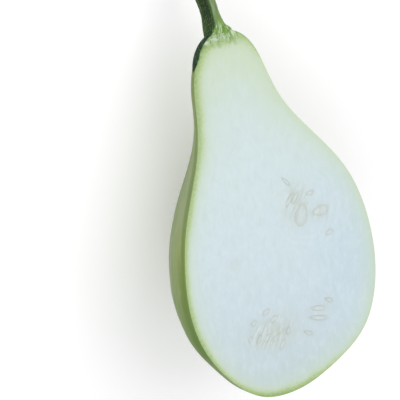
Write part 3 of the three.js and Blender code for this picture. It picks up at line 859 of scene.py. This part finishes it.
        # inside test against the cut outline
        ok = inside_outline(pts) & (d > 2.2 * e + 0.45 * min(step, 1.0))
        pts = pts[ok]
        pts = pts + rng.normal(0, 0.06 * step, pts.shape)
        picked.append(pts)
    inner = np.concatenate(picked)
    coords = [Vector(v) for v in rim_xy] + [Vector(v) for v in inner]
    out = delaunay_2d_cdt(coords, [], [list(range(m))], 1, 1e-5)
    vs, _, tris, orig = out[0], out[1], out[2], out[3]
    index = {}
    extra = []
    for i, o in enumerate(orig):
        src = [q for q in o if q < m]
        if src:
            index[i] = int(rings[-1][src[0]])
        else:
            index[i] = None
            extra.append(i)
    xy = np.array([[vs[i].x, vs[i].y] for i in extra])
    fields = face_fields(xy)
    q = np.column_stack([xy, face_height(xy, fields)])
    f0 = add(q, fields)
    for c, i in enumerate(extra):
        index[i] = f0 + c
    for tri in tris:
        ids = [index[v] for v in tri]
        a3 = [vs[v] for v in tri]
        area = (a3[1].x - a3[0].x) * (a3[2].y - a3[0].y) - (a3[1].y - a3[0].y) * (a3[2].x - a3[0].x)
        faces.append(ids if area > 0 else ids[::-1])
        slots.append(1)

    verts = np.concatenate(verts)
    attributes = {k2: np.concatenate(v) for k2, v in attrs.items()}
    row = to_row(verts)
    row[:, 2] = np.where(row[:, 2] < 0.004, soft_max(row[:, 2] * 1000, 0.0, 0.5) / 1000, row[:, 2])
    obj = new_mesh("gourd", row, faces, attributes, (MAT_SKIN, MAT_FLESH), slots)
    return obj


gourd = build_gourd()
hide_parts("gourd_half")
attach(gourd, "root")

# ------------------------------------------------------------------ stem
stem_line_at = open_spline(STEM_LINE)
stem_radius_at = open_spline(STEM_RADIUS)
foot_spread_at = open_spline(FOOT_SPREAD)


def tube(nu=150, nv=96):
    u = np.linspace(0, 1, nu)
    c = stem_line_at(u)
    e = 1e-3
    t = stem_line_at(np.clip(u + e, 0, 1)) - stem_line_at(np.clip(u - e, 0, 1))
    t /= np.linalg.norm(t, axis=1, keepdims=True)
    side = np.array([1.0, 0, 0]) - t * t[:, :1]
    side /= np.linalg.norm(side, axis=1, keepdims=True)
    front = np.cross(side, t)
    a = np.arange(nv) / nv * 2 * math.pi
    ribs = np.clip((u - 0.15) / 0.25, 0, 1)[:, None] * rib_shape(a)[None]
    to_foot = np.maximum(0, np.cos(a - math.radians(15))) ** 2
    left_foot = open_spline([0.2, 0.8, 1.3, 1.0, 0.25, 0, 0, 0, 0])(u)
    r = stem_radius_at(u)[:, None] * (1 + 0.085 * ribs) + np.maximum(foot_spread_at(u), 0)[:, None] * to_foot[None]
    r = r + np.maximum(left_foot, 0)[:, None] * (np.maximum(0, np.cos(a - math.radians(205))) ** 2)[None]
    p = c[:, None] + side[:, None] * (r * np.cos(a))[..., None] + front[:, None] * (r * np.sin(a))[..., None]
    verts = np.concatenate([p.reshape(-1, 3), c[:1], c[-1:] + t[-1:] * 0.0])
    faces = []
    for i in range(nu - 1):
        for j in range(nv):
            k = (j + 1) % nv
            faces.append([i * nv + j, i * nv + k, (i + 1) * nv + k, (i + 1) * nv + j])
    b, e2 = nu * nv, nu * nv + 1
    for j in range(nv):
        k = (j + 1) % nv
        faces.append([b, k, j])
        faces.append([e2, (nu - 1) * nv + j, (nu - 1) * nv + k])
    return verts, faces


RIB_TURN = -0.541


def rib_shape(a):
    """Five ribs with narrow crests and broad, slightly hollow sides."""
    c = np.cos(5 * (a + RIB_TURN))
    return c + 0.22 * np.cos(10 * (a + RIB_TURN))


def lobe(at, s_from, s_to, half, thick, nu=64, nv=40):
    verts, faces = [], []
    th = np.linspace(0, math.pi, nu)
    ph = np.arange(nv) / nv * 2 * math.pi
    for i, q in enumerate(th):
        y = math.cos(q)
        u = (1 - y) / 2
        ring = math.sin(q)
        s = s_from + (s_to - s_from) * u
        taper = 1 - 0.35 * u
        size = section(np.array([s]))[2][0]
        x, z = ring * np.cos(ph), ring * np.sin(ph)
        a = math.radians(at) - x * half * taper / size
        p = on_fruit(np.full(nv, s), a) + fruit_normal(np.full(nv, s), a) * (z * thick * taper)[:, None]
        verts.append(p)
    verts = np.concatenate(verts)
    for i in range(nu - 1):
        for j in range(nv):
            k = (j + 1) % nv
            faces.append([i * nv + j, (i + 1) * nv + j, (i + 1) * nv + k, i * nv + k])
    # collapse the poles
    return verts, faces


def collar(nu=40, nv=96):
    """A thin pad on the shoulder round the stalk."""
    verts, faces = [], []
    centre_s, reach = 0.972, 10.2
    base = np.array([-19.5, 199.5, -5.5])
    # sample the rind near the stalk on a polar grid about the stalk's foot
    th = np.linspace(0, math.pi, nu)
    ph = np.arange(nv) / nv * 2 * math.pi
    for q in th:
        ring = math.sin(q)
        y = math.cos(q)
        r = ring * reach * (1 + 0.10 * np.cos(5 * ph + 0.8))
        d = np.stack([np.cos(ph) * r, -0.45 * np.cos(ph) * 0 * r, np.sin(ph) * r * 0.85], -1)
        p = base + d
        # settle on the dome of the shoulder
        p[:, 1] = shoulder_y(p[:, 0], p[:, 2]) + y * 1.0
        verts.append(p)
    verts = np.concatenate(verts)
    for i in range(nu - 1):
        for j in range(nv):
            k = (j + 1) % nv
            faces.append([i * nv + j, (i + 1) * nv + j, (i + 1) * nv + k, i * nv + k])
    return verts, faces


_sg, _ag = np.meshgrid(np.linspace(0.72, 0.9995, 90), np.linspace(math.pi * 0.8, math.pi * 2.2, 110), indexing="ij")
_CAP = on_fruit(_sg, _ag).reshape(-1, 3)


_cap_tree = KDTree(len(_CAP))
for _i, _p in enumerate(_CAP):
    _cap_tree.insert((_p[0], _p[2], 0.0), _i)
_cap_tree.balance()


def shoulder_y(x, z):
    out = np.empty(len(x))
    for i in range(len(x)):
        found = _cap_tree.find_n((x[i], z[i], 0.0), 4)
        w = np.array([1 / (f[2] ** 2 + 1e-3) for f in found])
        out[i] = (w * np.array([_CAP[f[1], 1] for f in found])).sum() / w.sum()
    return out


def build_stem():
    parts = [tube()] + [lobe(*l) for l in LOBES] + [collar()]
    verts, faces, at = [], [], 0
    for v, f in parts:
        verts.append(v)
        faces += [[i + at for i in q] for q in f]
        at += len(v)
    verts = np.concatenate(verts)
    mesh = bpy.data.meshes.new("stem_raw")
    mesh.from_pydata([tuple(v * 0.001) for v in verts], [], faces)
    raw = bpy.data.objects.new("stem_raw", mesh)
    bpy.context.scene.collection.objects.link(raw)
    weld = raw.modifiers.new("weld", "WELD")
    weld.merge_threshold = 1e-6
    mod = raw.modifiers.new("union", "REMESH")
    mod.mode = "VOXEL"
    mod.voxel_size = 0.00030
    dg = bpy.context.evaluated_depsgraph_get()
    done = bpy.data.meshes.new_from_object(raw.evaluated_get(dg))
    bpy.data.objects.remove(raw)
    n = len(done.vertices)
    p = np.empty(n * 3)
    done.vertices.foreach_get("co", p)
    p = p.reshape(-1, 3) * 1000
    e = np.empty(len(done.edges) * 2, dtype=np.int64)
    done.edges.foreach_get("vertices", e)
    e = e.reshape(-1, 2)
    polys = [list(q.vertices) for q in done.polygons]
    bpy.data.meshes.remove(done)
    # Keep the one large shell; drop crumbs and any bubble shut inside it.
    root = np.arange(n)
    while True:
        low = np.minimum(root[e[:, 0]], root[e[:, 1]])
        new = root.copy()
        np.minimum.at(new, e[:, 0], low)
        np.minimum.at(new, e[:, 1], low)
        new = new[new]
        if (new == root).all():
            break
        root = new
    keep = root == np.bincount(root).argmax()
    index = np.cumsum(keep) - 1
    p = p[keep]
    e = index[e[keep[e[:, 0]]]]
    polys = [[int(index[v]) for v in q] for q in polys if keep[q[0]]]
    n = len(p)
    deg = np.bincount(e.ravel(), minlength=n)[:, None]
    for k in range(8):
        acc = np.zeros_like(p)
        np.add.at(acc, e[:, 0], p[e[:, 1]])
        np.add.at(acc, e[:, 1], p[e[:, 0]])
        p = p + (acc / deg - p) * (0.5 if k % 2 == 0 else -0.47)

    # Where each point is on the stalk.
    us = np.linspace(0, 1, 400)
    cs = stem_line_at(us)
    ts = np.gradient(cs, axis=0)
    ts /= np.linalg.norm(ts, axis=1, keepdims=True)
    sides = np.array([1.0, 0, 0]) - ts * ts[:, :1]
    sides /= np.linalg.norm(sides, axis=1, keepdims=True)
    fronts = np.cross(sides, ts)
    j = np.concatenate([((p[i:i + 2000, None] - cs[None]) ** 2).sum(-1).argmin(1) for i in range(0, n, 2000)])
    rel = p - cs[j]
    a = np.arctan2((rel * fronts[j]).sum(1), (rel * sides[j]).sum(1))
    rad = np.sqrt((rel * fronts[j]).sum(1) ** 2 + (rel * sides[j]).sum(1) ** 2)
    u = us[j]
    end = (rel * ts[j]).sum(1) * (j == len(us) - 1)
    ridge = rib_shape(a) * np.clip((u - 0.2) / 0.2, 0, 1)
    on_stalk = smooth(1.5, 0.2, rad - stem_radius_at(u) - 0.6) * smooth(0.20, 0.34, u)
    foot = 1 - on_stalk

    # Fine relief, then the knife's plane.
    axis = rel - ts[j] * (rel * ts[j]).sum(1)[:, None]
    axis /= np.linalg.norm(axis, axis=1, keepdims=True) + 1e-9
    bump = 0.12 * noise(np.stack([a * 6, u * 14, 0 * u], -1), 21) + 0.05 * noise(p / 0.9, 22)
    p = p + axis * (bump * on_stalk)[:, None]
    tip = smooth(-0.35, -0.05, (rel * ts[j]).sum(1)) * (u > 0.995) * smooth(0.2, -0.2, rad - stem_radius_at(u) * 0.93)

    xy = p[:, :2]
    fields = face_fields(xy)
    d, _ = rim_distance(xy)
    d = np.where(inside_outline(xy), d, -d)
    x, y = xy[:, 0], xy[:, 1]
    ragged = 0.35 * noise(np.stack([x / 1.1, y / 1.6, 0 * x], -1), 23)
    limit = np.interp(y, *LEFT_LIMIT) + ragged
    inner = smooth(-0.35, 0.35, x - limit)
    high = smooth(210.0, 206.5, y + ragged * 2)
    fields["strand"] = np.where(d > 0, fields["strand"], np.maximum(fields["strand"], 0.95))
    fields["strand"] = np.maximum(fields["strand"], 0.95 * smooth(1.6, 0.4, d) * smooth(-8, -10, x))
    plane = 0.10 + root_relief(xy, fields)
    plane = plane - 0.40 * smooth(1.6, 3.6, d)              # dives under the flesh further in
    past = np.maximum(limit - x, 0)
    plane = np.where(y < 204, plane - 0.10 * past ** 2, plane)   # the lobes' edges are rounded over
    near_cut = smooth(-2.6, -1.0, p[:, 2])
    p[:, 2] = soft_min(p[:, 2], plane, 0.15)
    cut = inner * high * near_cut
    fresh = smooth(214.0, 207.5, y) * smooth(-6.0, -2.5, p[:, 2]) * on_stalk * smooth(-0.9, 0.5, x - limit)
    face = np.where((u > 0.99)[:, None], np.stack([rad * np.cos(a) / 10, rad * np.sin(a) / 10, 0 * u], -1), fields["face"])
    deg_a = np.degrees(a) % 360
    side_noise = 3.0 * noise(np.stack([a * 2, u * 9, 0 * u], -1), 24)
    # Painted light: the lit side of the stalk is paler, with a fainter band on its far side.
    painted_lit_side = smooth(24, 31, deg_a + side_noise) * smooth(104, 99, deg_a + side_noise)
    painted_lit_side = np.maximum(painted_lit_side, 0.35 * smooth(244, 254, deg_a) * smooth(320, 312, deg_a))
    attributes = dict(fields, face=face, turn=np.stack([a * 0.5, u * 4.2, 0 * u], -1), cut=cut, fresh=fresh * (1 - cut),
                      ridge=ridge, foot=foot * (1 - tip), tip=tip, painted_lit_side=painted_lit_side * on_stalk * 0.9)
    return new_mesh("stem_piece", to_row(p), polys, attributes, (MAT_STEM,))


stem = build_stem()
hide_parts("stem")
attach(stem, "root")


# ------------------------------------------------------------------ seeds
def build_seed(seed):
    name, x, y, length, width, ang, depth = seed
    nr, nt = 14, 56
    th = np.arange(nt) / nt * 2 * math.pi
    a = math.radians(ang)

    def ring_points(r, z):
        px, py = r * np.cos(th), r * np.sin(th)
        narrow = 1 - 0.28 * px
        u, v = px * length / 2, py * width / 2 * narrow
        return np.stack([x + u * math.cos(a) - v * math.sin(a), y + u * math.sin(a) + v * math.cos(a), z], -1), narrow

    verts, edge = [], []
    top = []
    for i in range(nr):
        r = 1 - (i / nr) ** 1.4 if i else 1.0
        rim = math.exp(-((r - 0.88) / 0.09) ** 2)
        base = -0.14 + 0.15 * smooth(1.0, 0.93, r) + 0.035 * rim - 0.02 * smooth(0.85, 0.45, r)
        pts, _ = ring_points(r, np.full(nt, float(base)))
        pts[:, 2] += 0.03 * noise(pts / 0.8, 41) * (r < 0.98)
        verts.append(pts)
        edge.append(np.full(nt, r))
    for i in range(1, nr):
        r = 1 - (i / nr) ** 1.2
        pts, narrow = ring_points(r, np.zeros(nt))
        pts[:, 2] = -0.14 - (depth - 0.35) * narrow * np.sqrt(1 - r * r)
        verts.append(pts)
        edge.append(np.full(nt, 1.0))
    verts = np.concatenate(verts)
    centre_top = np.array([[x, y, -0.02]])
    centre_bot = np.array([[x, y, -0.14 - (depth - 0.35)]])
    verts = np.concatenate([verts, centre_top, centre_bot])
    edge = np.concatenate(edge + [np.array([0.0, 1.0])])
    faces = []
    for i in range(nr - 1):
        for j in range(nt):
            k = (j + 1) % nt
            faces.append([i * nt + j, i * nt + k, (i + 1) * nt + k, (i + 1) * nt + j])
    ct, cb = len(verts) - 2, len(verts) - 1
    for j in range(nt):
        faces.append([(nr - 1) * nt + j, (nr - 1) * nt + (j + 1) % nt, ct])
    low = [0] + list(range(nr, 2 * nr - 1))
    for i0, i1 in zip(low[:-1], low[1:]):
        for j in range(nt):
            k = (j + 1) % nt
            faces.append([i0 * nt + k, i0 * nt + j, i1 * nt + j, i1 * nt + k])
    for j in range(nt):
        faces.append([low[-1] * nt + (j + 1) % nt, low[-1] * nt + j, cb])
    fields = face_fields(verts[:, :2])
    fields["edge"] = edge
    return new_mesh(name + "_piece", to_row(verts), faces, fields, (MAT_SEED,))


for seed in SEEDS:
    piece = build_seed(seed)
    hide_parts(seed[0])
    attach(piece, "root")

# ------------------------------------------------------------------ stage
floor_mesh = bpy.data.meshes.new("floor")
# A flat paper floor that sweeps up far away, so that no horizon shows. Its paper
# glows faintly by itself, painted light that keeps the shadow on it light.
_profile = [(0.4, 0.0), (1.2, 0.0), (2.2, 0.0)] + [
    (2.2 + 2.2 * math.sin(q), 2.2 - 2.2 * math.cos(q)) for q in np.linspace(0.1, math.pi / 2, 16)] + [(4.4, 3.0)]
_verts, _faces = [(0.0, 0.0, 0.0)], []
for r, z in _profile:
    _verts += [(r * math.cos(q), r * math.sin(q), z) for q in np.arange(96) / 96 * 2 * math.pi]
_faces += [(0, 1 + j, 1 + (j + 1) % 96) for j in range(96)]
for i in range(len(_profile) - 1):
    a, b = 1 + i * 96, 1 + (i + 1) * 96
    _faces += [(a + j, b + j, b + (j + 1) % 96, a + (j + 1) % 96) for j in range(96)]
floor_mesh.from_pydata(_verts, [], _faces)
floor_mesh.polygons.foreach_set("use_smooth", np.ones(len(floor_mesh.polygons), dtype=bool))
floor = bpy.data.objects.new("floor", floor_mesh)
bpy.context.scene.collection.objects.link(floor)
fl = Nodes("floor_paper")
fl_at = fl.node("ShaderNodeTexCoord").outputs["Object"]
fl_noise = fl.noise(fl.scaled(fl_at, (3, 3, 3)), 1.0, 2.0)
floor_mesh.materials.append(fl.finish(
    Base_Color=fl.mix(fl_noise, (0.735, 0.731, 0.735, 1), (0.75, 0.746, 0.75, 1)), Roughness=0.9,
    Emission_Color=(1.0, 0.995, 1.0, 1), Emission_Strength=0.27))

world = bpy.data.worlds.new("studio")
bpy.context.scene.world = world
world.use_nodes = True
bg = world.node_tree.nodes.get("Background") or world.node_tree.nodes.new("ShaderNodeBackground")
bg.inputs["Color"].default_value = (0.97, 0.985, 1.0, 1)
bg.inputs["Strength"].default_value = 0.72
out = world.node_tree.nodes.get("World Output") or world.node_tree.nodes.new("ShaderNodeOutputWorld")
world.node_tree.links.new(bg.outputs[0], out.inputs[0])


def area_light(name, at, target, size, power, colour=(1, 1, 1)):
    data = bpy.data.lights.new(name, "AREA")
    data.shape, data.size, data.energy, data.color = "DISK", size, power, colour
    obj = bpy.data.objects.new(name, data)
    obj.location = at
    obj.rotation_euler = (Vector(target) - Vector(at)).to_track_quat("-Z", "Y").to_euler()
    bpy.context.scene.collection.objects.link(obj)
    return obj


area_light("key", (0.45, 0.95, 1.45), (0, 0, 0.04), 1.9, 12.6, (1.0, 0.985, 0.97))
area_light("fill", (-1.25, -0.25, 1.0), (0, 0, 0.02), 1.8, 6.8, (1.0, 1.0, 1.0))

# ------------------------------------------------------------------ camera
# The view direction, right and up of the photograph's camera in the gourd's
# own frame, turned back by the lean of the gourd in the picture.
LEAN = math.radians(-9)
MM_PER_PX, DIST_PX = 0.52, 1600.0
view_dir = np.array([-0.52288863, 0.12360563, 0.84339145])
right = np.array([0.84990904, 0.0, 0.52692943])
up = np.array([0.06513145, 0.99233142, -0.10505355])


def lean(v):
    c, s = math.cos(LEAN), math.sin(LEAN)
    return np.array([v[0] * c - v[1] * s, v[0] * s + v[1] * c, v[2]])


def rotate_row(v):
    c, s = math.cos(PITCH), math.sin(PITCH)
    return np.array([v[0], v[1] * c - v[2] * s, v[1] * s + v[2] * c])


cam_data = bpy.data.cameras.new("camera")
cam = bpy.data.objects.new("camera", cam_data)
bpy.context.scene.collection.objects.link(cam)
bpy.context.scene.camera = cam
cam_data.sensor_width = 36.0
cam_data.lens = 18.0 * DIST_PX / 200.0
cam_data.dof.use_dof = False
target = to_row(np.array([-43.0, 117.97636618, 0.0]))
axis_x, axis_y, axis_z = (rotate_row(lean(v)) for v in (right, up, view_dir))
place = target + axis_z * DIST_PX * MM_PER_PX * 0.001
m = Matrix.Identity(4)
for r in range(3):
    m[r][0], m[r][1], m[r][2], m[r][3] = axis_x[r], axis_y[r], axis_z[r], place[r]
cam.matrix_world = m
cam_data.clip_start, cam_data.clip_end = 0.05, 50.0

bpy.context.scene.view_settings.view_transform = "Standard"
bpy.context.scene.view_settings.look = "None"
bpy.context.scene.view_settings.exposure = 0.0
bpy.context.scene.view_settings.gamma = 1.0
